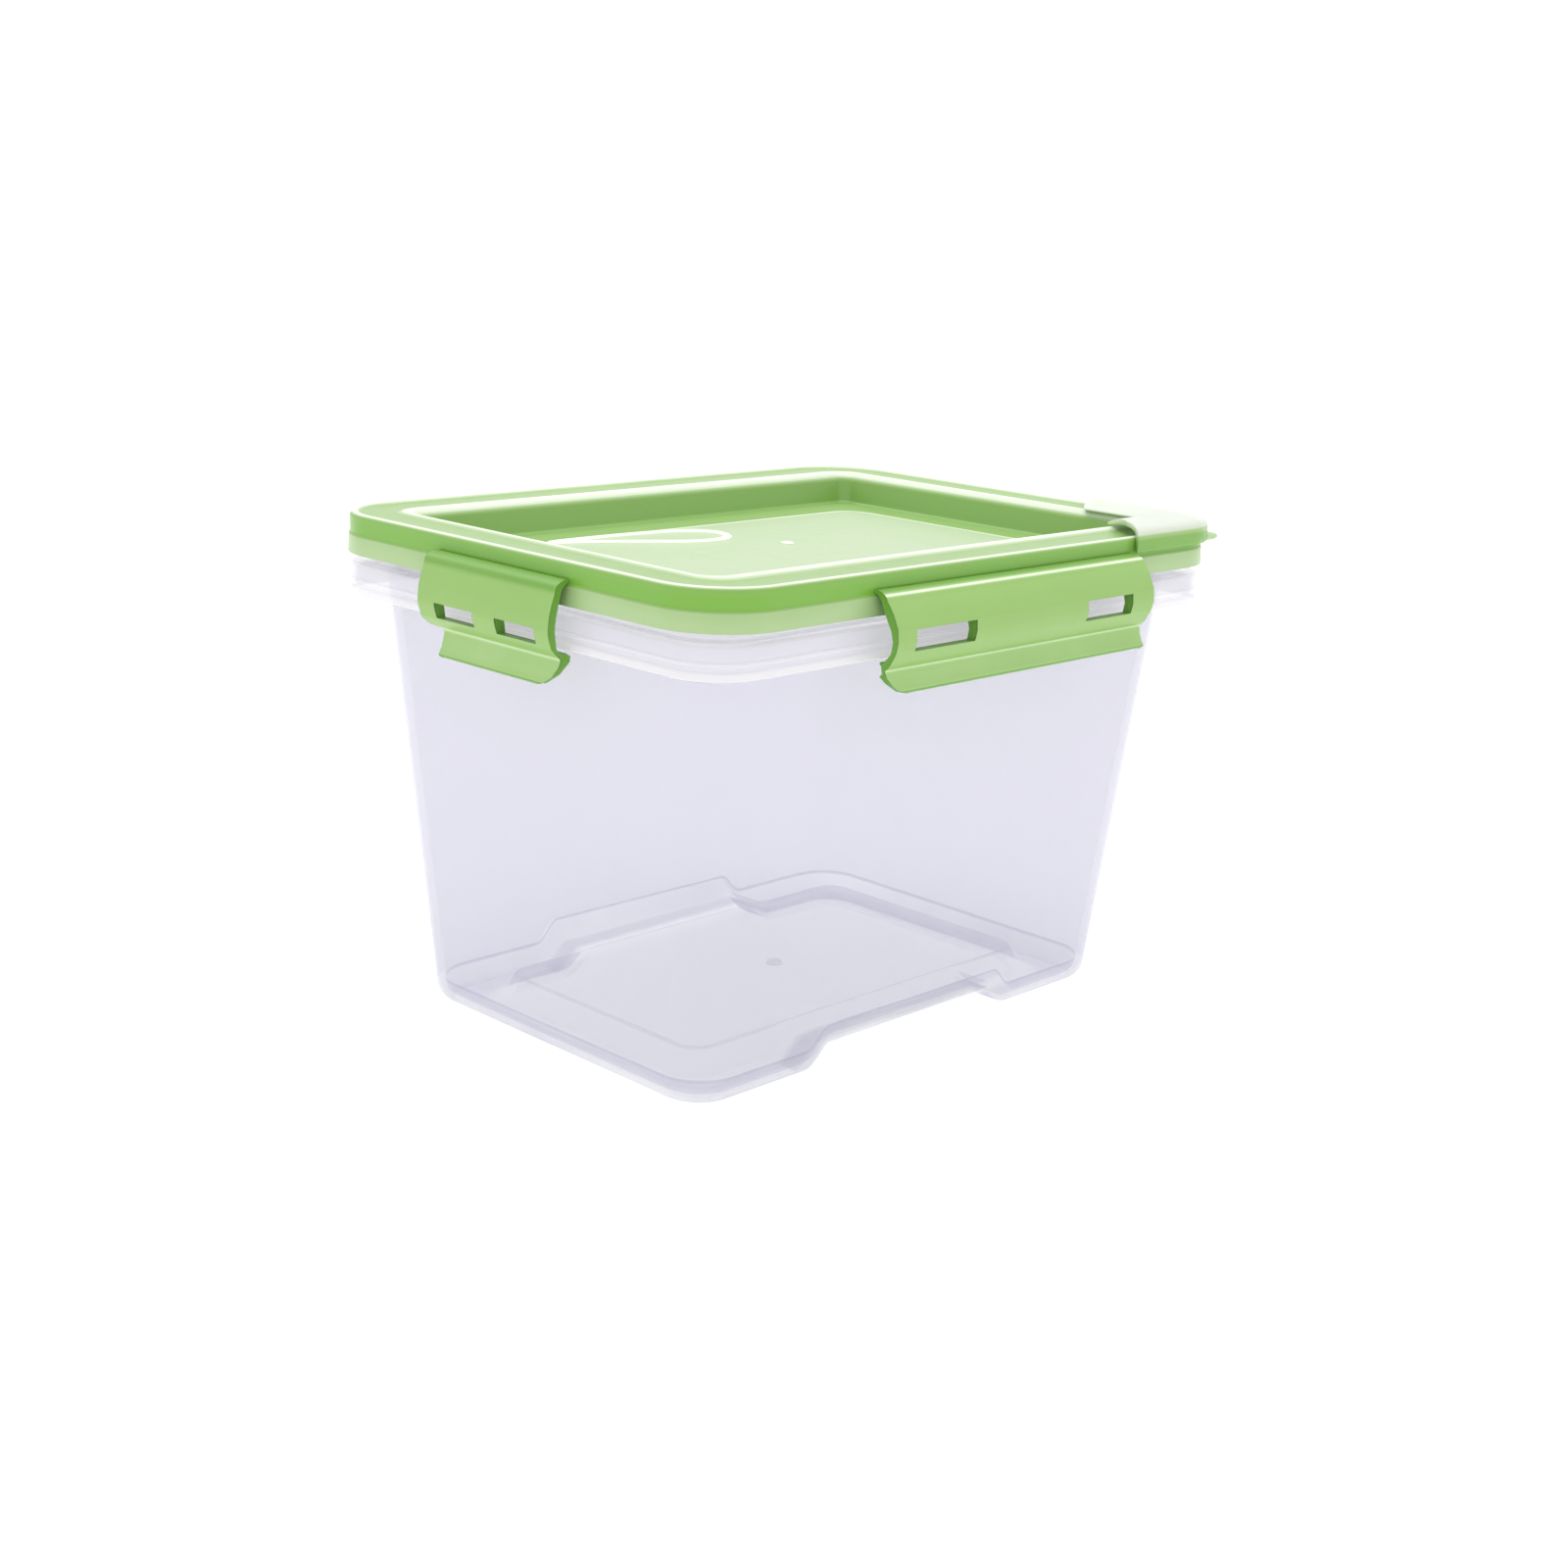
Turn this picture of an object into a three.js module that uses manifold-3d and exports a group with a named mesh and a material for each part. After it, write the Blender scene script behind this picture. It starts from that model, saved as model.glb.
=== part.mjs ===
// Snap-lid food container: a tapered tub on four feet, a recessed lid with a seal under its
// rim, four swinging latches and a press-on cap over one corner of the rim.
// Millimetres, +Z up, +X along the long side. The origin is the centre of the base.

import * as THREE from 'three';
import { mergeVertices } from 'three/addons/utils/BufferGeometryUtils.js';
import Module from 'manifold-3d';

const wasm = await Module();
wasm.setup();

// Lid outline, measured over the skirt. "Inset" below is the distance in from this outline.
const LID_HALF_X = 115;
const LID_HALF_Y = 86.7;
const LID_CORNER = 22.5;
const CORNER_SHRINK = 0.85; // corner radius lost for each millimetre of inset
const CORNER_LEAST = 4;
// The well is wider along X: from one inset to the other its short sides move out by this much.
const WIDEN = { from: 14, to: 18, by: 2 };
const WALL = 1.8; // lid wall thickness
const ARC_STEPS = 8; // segments in each quarter-round corner

// Heights of the lid.
const SKIRT_BOTTOM = 143.3;
const BAND_TOP = 149.6; // the skirt's flared lower band ends here
const LAND_TOP = 154.7; // flat of the rim between its two ridges
const RIDGE_TOP = 155.5;
const RIB_BOTTOM = 147; // rib under the rim that stands just inside the tub's mouth
const RIB_OUTER_INSET = 12.6;
const RIB_INNER_INSET = 13.6;
const CHANNEL_FLOOR = 145;
const ISLAND_TOP = 146.7;
const ISLAND_HALF_X = 73.5;
const ISLAND_HALF_Y = 41;
const ISLAND_CORNER = 9;

// Tub walls: half sizes of the outside at the base, and what each millimetre of height adds.
const BASE_HALF_X = 94.2;
const BASE_HALF_Y = 64.2;
const BASE_CORNER = 14.5;
const TAPER = 0.082;
const TUB_WALL = 2;
const BASE_FILLET = 5;
const BASE_FILLET_INNER = 3.5;

// Tub rim: a flange that the latches hook under, a neck inside the lid's skirt, a sealing top.
const FLANGE_INSET = 1.4;
const FLANGE_CORNER = 16.5;
const FLANGE_BOTTOM = 130.5;
const FLANGE_TOP = 140.3;
const FLANGE_WALL = 2;
const NECK_INSET = 5;
const NECK_CORNER = 17;
const MOUTH_INSET = 11.5;
const MOUTH_CORNER = 13;
const RIM_TOP = 150.2;
const WALL_TOP = 138.3; // underside of the shelf that carries the flange
const SHELF_TOP = 141.3;
const EDGE_CUT = 0.7; // bevel along the rim's edges
const MOUTH_BOTTOM = 132;

// The floor is raised over a central panel and an arch through both long sides.
const FLOOR_RISE = 7;
const PANEL_HALF_X = 77.3;
const PANEL_HALF_Y = 45.3;
const PANEL_CORNER = 9;
const ARCH_HALF = 47.4;
const PANEL_DRAFT = 3.3; // the panel's sides lean in by this much over its rise
const ARCH_DRAFT = 8.9;

// Seal: a flat ring held under the rim between the skirt and the lid's inner rib.
const SEAL_OUTER_INSET = 3.2;
const SEAL_INNER_INSET = 12;
const SEAL_BOTTOM = 150.5;
const SEAL_TOP = 152.6;

// Latches: each hangs from the skirt on an axis just outside it. "Reach" is the distance out
// from the skirt. Lines of a latch's section are [reach, height] and run downwards.
const HINGE_REACH = 1;
const HINGE_HEIGHT = 150.3;
const HINGE_RADIUS = 0.6;
const HOOK_TIP = [[-2.5, 129.7], [-2.5, 128.7]];
const HOOK_ROOT = 3.6; // reach where the hook starts on the long latches
const HOOK_CUT_HEIGHT = 3.4; // the part of the hook's height that is cut short there
const HOOK_CUT_MIDDLE = 129.3;
const WINDOW_CORNER = 1.2;
const TAB_CORNER = 8; // at the end nearest the rounded corner of the pair
const TAB_HEEL = 1.5; // corner radius at the other end
const TAB_ROOT = 129; // height where the tab leaves the plate
const LATCH_DEPTH = 14; // more than any latch is deep
const LONG_LATCH = {
  length: 117.3,
  offset: 3.65,
  roundEnd: -1,
  tabShort: 0, // how far the tab stops before the latch's square end
  hookShort: 5, // how far the hook stops before both ends
  windows: [[-51, -25.6], [25.8, 48]],
  windowHeights: [134.3, 140.4],
  inside: [[3, 147.6], [4.5, 144.3], [7, 140.2], [7.9, 136.6], [6.8, 133.2], [3.6, 130.6]],
  outside: [[4.6, 149], [7.4, 145.3], [9.5, 141], [9.9, 136.4], [8.1, 131.9], [5.2, 128.6]],
  tab: [[2.6, 126.9], [4.9, 122], [7.4, 122]],
};
const SHORT_LATCH = {
  length: 58,
  offset: 1.5,
  roundEnd: 1,
  tabShort: 6.5,
  hookShort: 0,
  windows: [[-21.4, -4.2], [5.8, 22.8]],
  windowHeights: [132.6, 137.1],
  inside: [[2.9, 148], [3.9, 143.8], [4.8, 140], [5, 136.6], [4.4, 133], [2.2, 130.5]],
  outside: [[4.6, 148.8], [6.4, 144], [7.4, 140], [7.5, 136], [6.4, 132.6], [3, 128.6]],
  tab: [[0.2, 126.9], [2.6, 120.8], [5.1, 120.8]],
};

// Corner cap over the rim at +X, -Y. Its ends are cut on a slant.
const CAP_FRONT_END = 62.8;
const CAP_SIDE_END = 29.5;
const CAP_END_SLANT = 0.62;
const CAP_OUTER_INSET = -1.9;
const CAP_BOTTOM = 150.6;
const LIP_THICKNESS = 1.8;
const LIP_REACH = 28.4; // from the centre of the lid's corner arc to the tip of the lift lip
const VENT_INSET = 15.8;
const VENT_RADIUS = 2;
const VENT_PIN_RADIUS = 1.6;

const MATERIALS = {
  tub: { color: 0xdfe1ef, roughness: 0.25, transparent: true, opacity: 0.45 },
  lid: { color: 0x8cc45e, roughness: 0.3 },
  latch: { color: 0x94c96a, roughness: 0.3 },
  seal: { color: 0xe6e8e4, roughness: 0.6 },
};

// ---------------------------------------------------------------------------------------
// Solids

// Counter-clockwise points of a rounded rectangle at height z.
function ring(halfX, halfY, corner, z) {
  const centreX = halfX - corner;
  const centreY = halfY - corner;
  const centres = [[centreX, centreY], [-centreX, centreY], [-centreX, -centreY], [centreX, -centreY]];
  return centres.flatMap(([x, y], quarter) => {
    const start = quarter * Math.PI / 2;
    const arc = new THREE.EllipseCurve(x, y, corner, corner, start, start + Math.PI / 2);
    return arc.getPoints(ARC_STEPS).map((point) => new THREE.Vector3(point.x, point.y, z));
  });
}

function cornerAt(inset) {
  return Math.max(LID_CORNER - CORNER_SHRINK * inset, CORNER_LEAST);
}

// The inset of the short sides that goes with an inset of the long ones.
function sideInset(inset) {
  return inset - WIDEN.by * THREE.MathUtils.smoothstep(inset, WIDEN.from, WIDEN.to);
}

// The lid's outline moved in by an inset, at height z.
function insetRing([inset, z, corner = cornerAt(inset)]) {
  return ring(LID_HALF_X - sideInset(inset), LID_HALF_Y - inset, corner, z);
}

// The tub wall's outline at height z, moved in by an inset.
function wallRing(inset, z, corner = BASE_CORNER) {
  const growth = TAPER * z - inset;
  return ring(BASE_HALF_X + growth, BASE_HALF_Y + growth, corner, z);
}

function geometryOf(points, faces) {
  const geometry = new THREE.BufferGeometry().setFromPoints(points);
  geometry.setIndex(faces.flat());
  return geometry;
}

// Faces that join loops of equal length, each to the next.
function sideFaces(loopCount, size, closed) {
  const faces = [];
  const last = closed ? loopCount : loopCount - 1;
  for (let loop = 0; loop < last; loop += 1) {
    const here = loop * size;
    const next = ((loop + 1) % loopCount) * size;
    for (let i = 0; i < size; i += 1) {
      const j = (i + 1) % size;
      faces.push([here + i, here + j, next + j], [here + i, next + j, next + i]);
    }
  }
  return faces;
}

// A solid skinned over rings listed bottom to top, with a flat cap on the first and the last.
function loft(rings) {
  const size = rings[0].length;
  const lastStart = (rings.length - 1) * size;
  const faces = sideFaces(rings.length, size, false);
  for (let i = 1; i < size - 1; i += 1) {
    faces.push([0, i + 1, i], [lastStart, lastStart + i, lastStart + i + 1]);
  }
  return geometryOf(rings.flat(), faces);
}

// A ring-shaped solid: the last ring joins the first.
function hoop(rings) {
  return geometryOf(rings.flat(), sideFaces(rings.length, rings[0].length, true));
}

// A bar skinned over copies of one outline, whose two ends are closed with that outline.
function bar(sections, outline) {
  const size = outline.length;
  const lastStart = (sections.length - 1) * size;
  const faces = sideFaces(sections.length, size, false);
  for (const [a, b, c] of THREE.ShapeUtils.triangulateShape(outline, [])) {
    faces.push([a, c, b], [lastStart + a, lastStart + b, lastStart + c]);
  }
  return geometryOf(sections.flat(), faces);
}

function toSolid(geometry) {
  const bare = geometry.clone();
  bare.deleteAttribute('normal');
  bare.deleteAttribute('uv');
  const merged = mergeVertices(bare, 1e-4);
  const vertProperties = new Float32Array(merged.attributes.position.array);
  const triVerts = new Uint32Array(merged.index.array);
  return new wasm.Manifold(new wasm.Mesh({ numProp: 3, vertProperties, triVerts }));
}

function toGeometry(solid) {
  const { vertProperties, triVerts, numProp } = solid.getMesh();
  const geometry = new THREE.BufferGeometry();
  geometry.setAttribute('position', new THREE.BufferAttribute(vertProperties, numProp));
  geometry.setIndex(new THREE.BufferAttribute(triVerts, 1));
  return geometry;
}

// A shape drawn as (sideways, up), extruded along Y from one value to another.
function extrudeAlongY(shape, fromY, toY) {
  const geometry = new THREE.ExtrudeGeometry(shape, {
    depth: toY - fromY,
    bevelEnabled: false,
    curveSegments: 6,
  });
  return geometry.rotateX(Math.PI / 2).translate(0, toY, 0);
}

function roundedBox(centreX, width, bottom, top, corner) {
  const left = centreX - width / 2;
  const right = centreX + width / 2;
  const shape = new THREE.Shape();
  shape.moveTo(left + corner, bottom);
  shape.lineTo(right - corner, bottom);
  shape.absarc(right - corner, bottom + corner, corner, -Math.PI / 2, 0);
  shape.lineTo(right, top - corner);
  shape.absarc(right - corner, top - corner, corner, 0, Math.PI / 2);
  shape.lineTo(left + corner, top);
  shape.absarc(left + corner, top - corner, corner, Math.PI / 2, Math.PI);
  shape.lineTo(left, bottom + corner);
  shape.absarc(left + corner, bottom + corner, corner, Math.PI, 1.5 * Math.PI);
  return shape;
}

// ---------------------------------------------------------------------------------------
// Tub

// Rings of the quarter-round edge between the floor and the walls, from the floor up.
function filletRings(radius, inset, floor) {
  const steps = 4;
  return Array.from({ length: steps + 1 }, (_, step) => {
    const angle = step / steps * Math.PI / 2;
    const inward = radius * (1 - Math.sin(angle));
    const z = floor + radius * (1 - Math.cos(angle));
    return wallRing(inset + inward, z, BASE_CORNER - inward);
  });
}

// The panel and the arch together, grown outward by a margin, from a bottom to a top height.
function raisedFloor(margin, bottom, top) {
  const panel = loft([
    ring(PANEL_HALF_X + margin, PANEL_HALF_Y + margin, PANEL_CORNER + margin, bottom),
    ring(PANEL_HALF_X + margin - PANEL_DRAFT, PANEL_HALF_Y + margin - PANEL_DRAFT, PANEL_CORNER, top),
  ]);
  const foot = ARCH_HALF + margin;
  const arch = new THREE.Shape();
  arch.moveTo(-foot, bottom);
  arch.lineTo(foot, bottom);
  arch.lineTo(foot - ARCH_DRAFT, top);
  arch.lineTo(-foot + ARCH_DRAFT, top);
  arch.closePath();
  const tunnel = extrudeAlongY(arch, -LID_HALF_Y, LID_HALF_Y);
  return toSolid(panel).add(toSolid(tunnel));
}

function tubGeometry() {
  const outside = filletRings(BASE_FILLET, 0, 0);
  const flangeInner = FLANGE_CORNER - FLANGE_WALL;
  const rim = [
    [FLANGE_INSET + FLANGE_WALL, WALL_TOP, flangeInner],
    [FLANGE_INSET + FLANGE_WALL, FLANGE_BOTTOM, flangeInner],
    [FLANGE_INSET, FLANGE_BOTTOM, FLANGE_CORNER],
    [FLANGE_INSET, FLANGE_TOP - EDGE_CUT, FLANGE_CORNER],
    [FLANGE_INSET + EDGE_CUT, FLANGE_TOP, FLANGE_CORNER],
    [NECK_INSET, FLANGE_TOP, NECK_CORNER],
    [NECK_INSET, RIM_TOP - EDGE_CUT, NECK_CORNER],
    [NECK_INSET + EDGE_CUT, RIM_TOP, NECK_CORNER],
    [MOUTH_INSET - EDGE_CUT, RIM_TOP, MOUTH_CORNER],
    [MOUTH_INSET, RIM_TOP - EDGE_CUT, MOUTH_CORNER],
    [MOUTH_INSET, SHELF_TOP, MOUTH_CORNER],
  ];
  const inside = filletRings(BASE_FILLET_INNER, TUB_WALL, TUB_WALL).reverse();
  const shell = loft([
    ...outside,
    wallRing(0, WALL_TOP),
    ...rim.map(insetRing),
    wallRing(TUB_WALL, MOUTH_BOTTOM),
    ...inside,
  ]);
  const blank = toSolid(loft([...outside, wallRing(0, 2 * FLOOR_RISE)]));
  const raised = raisedFloor(TUB_WALL, TUB_WALL / 2, FLOOR_RISE + TUB_WALL).intersect(blank);
  const recess = raisedFloor(0, -TUB_WALL / 2, FLOOR_RISE);
  return toGeometry(toSolid(shell).add(raised).subtract(recess));
}

// ---------------------------------------------------------------------------------------
// Lid and seal

// Where the lid's corner reaches, at 45 degrees, for a given inset.
function cornerPoint(inset) {
  const corner = cornerAt(inset);
  const reach = corner * Math.SQRT1_2 - corner - inset;
  return new THREE.Vector2(LID_HALF_X + reach, -(LID_HALF_Y + reach));
}

function uprightPin(radius, place, bottom, top) {
  const pin = new THREE.CylinderGeometry(radius, radius, top - bottom, 16);
  return toSolid(pin.rotateX(Math.PI / 2).translate(place.x, place.y, (bottom + top) / 2));
}

function lidGeometry() {
  const roof = LAND_TOP - WALL;
  const underside = [
    [22.6, CHANNEL_FLOOR - WALL],
    [21.8, CHANNEL_FLOOR - 1],
    [20.2, LAND_TOP - 2.5],
    [19.6, LAND_TOP - 1.4],
    [18, LAND_TOP - 1.1],
    [15, roof],
    [RIB_INNER_INSET + 0.2, roof],
    [RIB_INNER_INSET, RIB_BOTTOM],
    [RIB_OUTER_INSET, RIB_BOTTOM],
    [RIB_OUTER_INSET - 0.2, roof],
    [2.6, roof],
    [2, roof - 0.6],
    [1.2, SKIRT_BOTTOM],
  ];
  const topside = [
    [-0.6, SKIRT_BOTTOM],
    [-0.4, BAND_TOP - 1],
    [0, BAND_TOP],
    [0, LAND_TOP - 0.5],
    [0.4, RIDGE_TOP - 0.4],
    [1.3, RIDGE_TOP],
    [2.3, RIDGE_TOP - 0.3],
    [3.2, LAND_TOP],
    [13.6, LAND_TOP],
    [15.6, RIDGE_TOP - 0.3],
    [17.6, RIDGE_TOP],
    [19.6, RIDGE_TOP - 0.4],
    [20.9, RIDGE_TOP - 1.4],
    [21.8, RIDGE_TOP - 3],
    [23.4, CHANNEL_FLOOR + 0.8],
    [24.1, CHANNEL_FLOOR],
  ];
  const lid = loft([
    ring(ISLAND_HALF_X - 1.2, ISLAND_HALF_Y - 1.2, ISLAND_CORNER - 1, ISLAND_TOP - WALL),
    ring(ISLAND_HALF_X + 0.5, ISLAND_HALF_Y + 0.5, ISLAND_CORNER, CHANNEL_FLOOR - WALL),
    ...underside.map(insetRing),
    ...topside.map(insetRing),
    ring(ISLAND_HALF_X + 1.8, ISLAND_HALF_Y + 1.8, ISLAND_CORNER + 1, CHANNEL_FLOOR),
    ring(ISLAND_HALF_X, ISLAND_HALF_Y, ISLAND_CORNER, ISLAND_TOP),
  ]);
  const vent = uprightPin(VENT_RADIUS, cornerPoint(VENT_INSET), CHANNEL_FLOOR, RIDGE_TOP + 1);
  return toGeometry(toSolid(lid).subtract(vent));
}

function sealGeometry() {
  return hoop([
    [SEAL_INNER_INSET, SEAL_BOTTOM],
    [SEAL_OUTER_INSET, SEAL_BOTTOM],
    [SEAL_OUTER_INSET, SEAL_TOP],
    [SEAL_INNER_INSET, SEAL_TOP],
  ].map(insetRing));
}

// ---------------------------------------------------------------------------------------
// Latches

// Section of a latch as (reach, height): a web from the hinge, a plate that bulges out and
// curls in under the tub's flange as a hook, and a finger tab that flares out below it.
function latchSection({ inside, outside, tab }) {
  const pin = new THREE.EllipseCurve(
    HINGE_REACH, HINGE_HEIGHT, HINGE_RADIUS, HINGE_RADIUS, Math.PI / 2, 1.5 * Math.PI,
  );
  const upwards = [...outside].reverse();
  return new THREE.Shape([
    ...pin.getPoints(3),
    ...curveThrough(inside),
    ...HOOK_TIP.map(([reach, z]) => new THREE.Vector2(reach, z)),
    ...tab.map(([reach, z]) => new THREE.Vector2(reach, z)),
    ...curveThrough(upwards),
  ]);
}

function curveThrough(points) {
  const curve = new THREE.SplineCurve(points.map(([reach, z]) => new THREE.Vector2(reach, z)));
  return curve.getPoints(2 * points.length);
}

// The latch seen from outside: one lower corner of the tab is round, the other square.
function latchOutline({ length, roundEnd, tabShort, tab }) {
  const half = length / 2;
  const bottom = tab[2][1];
  const tabEnd = half - tabShort;
  const round = new THREE.EllipseCurve(
    -half + TAB_CORNER, bottom + TAB_CORNER, TAB_CORNER, TAB_CORNER, Math.PI, 1.5 * Math.PI,
  );
  const heel = new THREE.EllipseCurve(
    tabEnd - TAB_HEEL, bottom + TAB_HEEL, TAB_HEEL, TAB_HEEL, -Math.PI / 2, 0,
  );
  const step = [[tabEnd, TAB_ROOT], [half, TAB_ROOT]];
  const top = [[half, HINGE_HEIGHT + 1], [-half, HINGE_HEIGHT + 1]];
  const points = [...round.getPoints(6), ...heel.getPoints(3)].map(({ x, y }) => [x, y]);
  points.push(...(tabShort > 0 ? step : []), ...top);
  return new THREE.Shape(points.map(([x, z]) => new THREE.Vector2(-roundEnd * x, z)));
}

// The latch lies along X and faces -Y, with its hinge axis on the X axis.
function latchGeometry(kind) {
  const { length, windows, windowHeights: [sill, head], hookShort } = kind;
  const section = new THREE.ExtrudeGeometry(latchSection(kind), { depth: length, bevelEnabled: false });
  // The section's first axis turns to -Y and its second to +Z, with the depth along X.
  const half = length / 2;
  const turn = new THREE.Matrix4().set(0, 0, -1, half, -1, 0, 0, 0, 0, 1, 0, 0, 0, 0, 0, 1);
  const front = toSolid(extrudeAlongY(latchOutline(kind), -LATCH_DEPTH, LATCH_DEPTH));
  let solid = toSolid(section.applyMatrix4(turn)).intersect(front);
  for (const [left, right] of windows) {
    const window = roundedBox((left + right) / 2, right - left, sill, head, WINDOW_CORNER);
    solid = solid.subtract(toSolid(extrudeAlongY(window, -LATCH_DEPTH, 0)));
  }
  for (const end of hookShort > 0 ? [-half, half] : []) {
    const block = new THREE.BoxGeometry(2 * hookShort, LATCH_DEPTH, HOOK_CUT_HEIGHT);
    block.translate(end, LATCH_DEPTH / 2 - HOOK_ROOT, HOOK_CUT_MIDDLE);
    solid = solid.subtract(toSolid(block));
  }
  return toGeometry(solid).translate(0, HINGE_REACH, -HINGE_HEIGHT);
}

// ---------------------------------------------------------------------------------------
// Corner cap

// Section of the cap as (inset, height): a domed shell over the rim, open below.
function capSection() {
  return [
    [CAP_OUTER_INSET, CAP_BOTTOM],
    [CAP_OUTER_INSET + 1.5, CAP_BOTTOM],
    [-0.4, 155],
    [-0.1, 155.9],
    [0.9, 156.6],
    [3.5, 157.3],
    [8, 157.5],
    [12, 157.1],
    [16, 156.3],
    [18.6, 155.8],
    [20.4, 155.8],
    [20, 156.3],
    [16.5, 157.7],
    [12.5, 158.7],
    [8, 159.1],
    [3.5, 158.9],
    [0.5, 158.2],
    [-1.2, 156.9],
    [CAP_OUTER_INSET, 155.2],
  ].map(([inset, z]) => new THREE.Vector2(inset, z));
}

// Stations along the cap: its front end, the corner arc, then its side end.
function capStations() {
  const along = [(inset, corner) => {
    const slant = CAP_END_SLANT * (inset - CAP_OUTER_INSET);
    return [CAP_FRONT_END + slant, -(LID_HALF_Y - inset), corner];
  }];
  for (let step = 0; step <= ARC_STEPS; step += 1) {
    const angle = -Math.PI / 2 + step / ARC_STEPS * Math.PI / 2;
    along.push((inset, corner) => [
      LID_HALF_X - inset - corner + corner * Math.cos(angle),
      -(LID_HALF_Y - inset - corner) + corner * Math.sin(angle),
    ]);
  }
  along.push((inset) => {
    const slant = CAP_END_SLANT * (inset - CAP_OUTER_INSET);
    return [LID_HALF_X - inset, -(CAP_SIDE_END + slant)];
  });
  return along;
}

// A small lip that points away from the lid's corner, to lift the cap by.
function liftLip() {
  const centre = new THREE.Vector2(LID_HALF_X - LID_CORNER, -(LID_HALF_Y - LID_CORNER));
  const shape = new THREE.Shape();
  shape.moveTo(LID_CORNER + 0.8, -7);
  shape.quadraticCurveTo(LIP_REACH - 1, -4, LIP_REACH, 0);
  shape.quadraticCurveTo(LIP_REACH - 1, 4, LID_CORNER + 0.8, 7);
  shape.closePath();
  const lip = new THREE.ExtrudeGeometry(shape, {
    depth: LIP_THICKNESS,
    bevelEnabled: false,
    curveSegments: 5,
  });
  lip.rotateZ(-Math.PI / 4).translate(centre.x, centre.y, CAP_BOTTOM);
  return toSolid(lip);
}

function capGeometry() {
  const section = capSection();
  const sections = capStations().map((station) => section.map(({ x: inset, y: z }) => {
    const [x, y] = station(inset, cornerAt(inset));
    return new THREE.Vector3(x, y, z);
  }));
  const pin = uprightPin(VENT_PIN_RADIUS, cornerPoint(VENT_INSET), LAND_TOP - 2.2, RIDGE_TOP + 1.4);
  return toGeometry(toSolid(bar(sections, section)).add(liftLip()).add(pin));
}

// ---------------------------------------------------------------------------------------
// Assembly

const group = new THREE.Group();

function addPart(name, geometry, material) {
  const mesh = new THREE.Mesh(geometry, new THREE.MeshStandardMaterial(material));
  mesh.name = name;
  group.add(mesh);
  return mesh;
}

// A latch's distance out from the centre, its place along its side and its turn about Z.
function addLatch(name, kind, distance, turn) {
  const mesh = addPart(name, latchGeometry(kind), MATERIALS.latch);
  mesh.position.set(kind.offset, -(distance + HINGE_REACH), HINGE_HEIGHT);
  mesh.position.applyAxisAngle(new THREE.Vector3(0, 0, 1), turn);
  mesh.rotation.z = turn;
}

addPart('container_body', tubGeometry(), MATERIALS.tub);
addPart('lid', lidGeometry(), MATERIALS.lid);
addPart('lid_seal', sealGeometry(), MATERIALS.seal);
addLatch('front_latch', LONG_LATCH, LID_HALF_Y, 0);
addLatch('back_latch', LONG_LATCH, LID_HALF_Y, Math.PI);
addLatch('left_latch', SHORT_LATCH, LID_HALF_X, -Math.PI / 2);
addLatch('right_latch', SHORT_LATCH, LID_HALF_X, Math.PI / 2);
addPart('corner_vent_cap', capGeometry(), MATERIALS.lid);

export default group;
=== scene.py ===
"""Snap-lid food container: finished pieces, materials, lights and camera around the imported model.

Constants are millimetres in the CAD frame unless they say otherwise: +X along the long side, +Z up,
origin at the centre of the base. "Inset" is the distance in from the lid's outline, "reach" the
distance out from it.
"""
import math

import bpy
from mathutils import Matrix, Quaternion, Vector
from mathutils.geometry import tessellate_polygon


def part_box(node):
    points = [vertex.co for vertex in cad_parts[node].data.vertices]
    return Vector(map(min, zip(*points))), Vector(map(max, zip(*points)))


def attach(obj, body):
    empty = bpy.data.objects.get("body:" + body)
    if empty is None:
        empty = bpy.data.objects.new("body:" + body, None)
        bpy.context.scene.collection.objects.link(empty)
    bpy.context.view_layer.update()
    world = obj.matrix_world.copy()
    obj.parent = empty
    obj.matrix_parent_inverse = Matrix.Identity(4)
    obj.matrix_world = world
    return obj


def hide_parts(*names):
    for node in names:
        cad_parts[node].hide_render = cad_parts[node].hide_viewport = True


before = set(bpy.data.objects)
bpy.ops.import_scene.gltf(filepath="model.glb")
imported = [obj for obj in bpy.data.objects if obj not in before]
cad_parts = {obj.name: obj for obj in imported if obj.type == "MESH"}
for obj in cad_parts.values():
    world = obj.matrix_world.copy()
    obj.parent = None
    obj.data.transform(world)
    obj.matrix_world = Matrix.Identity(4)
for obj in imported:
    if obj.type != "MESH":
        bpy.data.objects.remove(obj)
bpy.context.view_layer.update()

MM = 0.001


# ------------------------------------------------------------------------------------------
# Camera

CAMERA_PLACE = Vector((-502.8, -486.9, 256.4)) * MM
CAMERA_TARGET = Vector((0, 0, 65.1)) * MM
CAMERA_ROLL = math.radians(2.41)


def make_camera():
    camera = bpy.data.objects.new("camera", bpy.data.cameras.new("camera"))
    camera.data.lens = 51.44
    camera.data.sensor_width = 36
    camera.data.shift_x = 0.0045
    camera.data.shift_y = 0.006
    camera.location = CAMERA_PLACE
    camera.rotation_mode = "QUATERNION"
    aim = (CAMERA_TARGET - CAMERA_PLACE).to_track_quat("-Z", "Y")
    camera.rotation_quaternion = aim @ Quaternion((0, 0, 1), CAMERA_ROLL)
    bpy.context.scene.collection.objects.link(camera)
    bpy.context.scene.camera = camera


make_camera()


# ------------------------------------------------------------------------------------------
# Outlines: rounded rectangles walked counter-clockwise from the +X side of the +X +Y corner

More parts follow.
